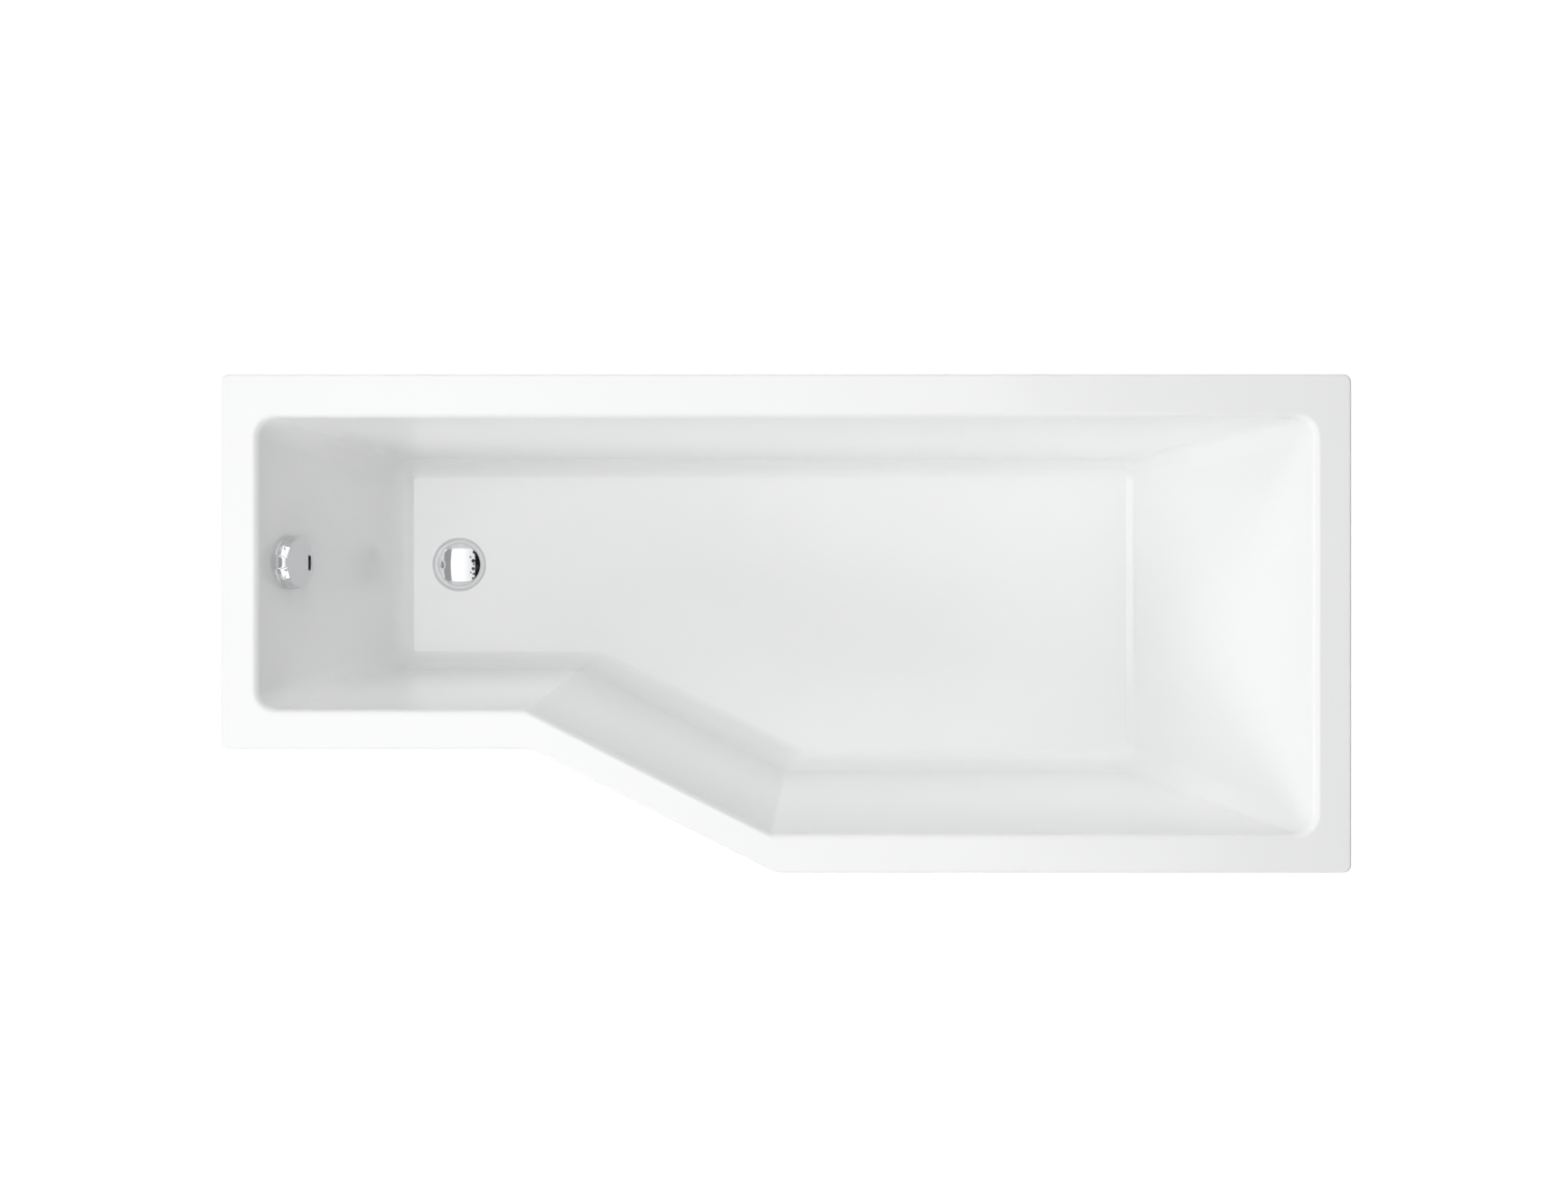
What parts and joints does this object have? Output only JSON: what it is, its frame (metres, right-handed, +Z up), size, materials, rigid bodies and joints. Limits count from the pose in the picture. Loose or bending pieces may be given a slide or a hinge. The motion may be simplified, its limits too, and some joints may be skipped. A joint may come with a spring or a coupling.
{
  "type": "shower bath",
  "caption": "Acrylic bath with an angled step in its front, wide showering end, narrow waste end, pop-up plug worked by a turning overflow knob, on adjustable feet.",
  "frame": {"origin": "on the floor, under the middle of the rim's overall box", "axes": "+X along the bath from the narrow waste end to the wide head end, +Y to the room's wall, +Z up"},
  "size_m": [1.7, 0.75, 0.59],
  "materials": {
    "white_acrylic": "glossy white acrylic",
    "resin_backing": "sprayed glass-fibre resin",
    "timber": "raw particle board",
    "galvanised_steel": "galvanised",
    "zinc_plated_steel": "bright zinc plating",
    "black_plastic": "moulded, fine grain",
    "chrome_plate": "polished chrome",
    "black_rubber": "matt rubber",
    "white_plastic": "moulded polypropylene"
  },
  "bodies": {
    "bath": {"bath_shell": "white_acrylic", "fibreglass_backing": "resin_backing", "base_board": "timber", "batten_back": "timber", "batten_head_end": "timber", "batten_wide_front": "timber", "batten_angled": "timber", "batten_narrow_front": "timber", "batten_waste_end": "timber", "wall_bracket_left": "galvanised_steel", "wall_bracket_right": "galvanised_steel", "wall_bracket_screws": "zinc_plated_steel", "rail_waste_end": "galvanised_steel", "rail_head_end": "galvanised_steel", "centre_bracket": "galvanised_steel", "rail_screws": "zinc_plated_steel", "nuts_1": "zinc_plated_steel", "nuts_2": "zinc_plated_steel", "nuts_3": "zinc_plated_steel", "nuts_4": "zinc_plated_steel", "nuts_5": "zinc_plated_steel", "waste_flange": "chrome_plate", "flange_gasket": "black_rubber", "body_gasket": "black_rubber", "waste_body": "white_plastic", "lever_cover": "white_plastic", "cover_screws": "zinc_plated_steel", "trap_nut_top": "white_plastic", "trap_bend": "white_plastic", "trap_nut_side": "white_plastic", "outlet_elbow": "white_plastic", "trap_washers": "black_rubber", "overflow_plate": "white_plastic", "plate_screws": "zinc_plated_steel", "overflow_gasket": "black_rubber", "overflow_body": "white_plastic", "hose_nut_top": "white_plastic", "overflow_hose": "white_plastic", "hose_nut_bottom": "white_plastic", "control_cable": "black_plastic"},
    "plug": {"plug_cap": "chrome_plate", "plug_seal": "black_rubber", "plug_stem": "white_plastic"},
    "knob": {"overflow_knob": "chrome_plate", "knob_spindle": "white_plastic"},
    "lever": {"lift_lever": "black_plastic"},
    "foot_1": {"pad_1": "black_plastic", "stud_1": "galvanised_steel"},
    "foot_2": {"pad_2": "black_plastic", "stud_2": "galvanised_steel"},
    "foot_3": {"pad_3": "black_plastic", "stud_3": "galvanised_steel"},
    "foot_4": {"pad_4": "black_plastic", "stud_4": "galvanised_steel"},
    "foot_5": {"pad_5": "black_plastic", "stud_5": "galvanised_steel"}
  },
  "joints": [
    {"name": "knob_turn", "type": "hinge", "parent": "bath", "child": "knob", "pos_m": [-0.76259, 0.092, 0.508], "axis": [0.93, 0, 0.3676], "range_deg": [0, 90]},
    {"name": "plug_lift", "type": "slide", "parent": "bath", "child": "plug", "axis": [0, 0, 1], "range_m": [0, 0.012]},
    {"name": "lever_swing", "type": "hinge", "parent": "bath", "child": "lever", "pos_m": [-0.52, 0.092, 0.128], "axis": [0, 1, 0], "range_deg": [0, 38.94]},
    {"name": "foot_1_adjust", "type": "slide", "parent": "bath", "child": "foot_1", "axis": [0, 0, -1], "range_m": [-0.012, 0.025]},
    {"name": "foot_2_adjust", "type": "slide", "parent": "bath", "child": "foot_2", "axis": [0, 0, -1], "range_m": [-0.012, 0.025]},
    {"name": "foot_3_adjust", "type": "slide", "parent": "bath", "child": "foot_3", "axis": [0, 0, -1], "range_m": [-0.012, 0.025]},
    {"name": "foot_4_adjust", "type": "slide", "parent": "bath", "child": "foot_4", "axis": [0, 0, -1], "range_m": [-0.012, 0.025]},
    {"name": "foot_5_adjust", "type": "slide", "parent": "bath", "child": "foot_5", "axis": [0, 0, -1], "range_m": [-0.012, 0.025]}
  ],
  "couplings": [
    {"joint": "plug_lift", "follows": "knob_turn", "m_per_rad": 0.00763},
    {"joint": "lever_swing", "follows": "knob_turn", "ratio": 0.4326}
  ]
}
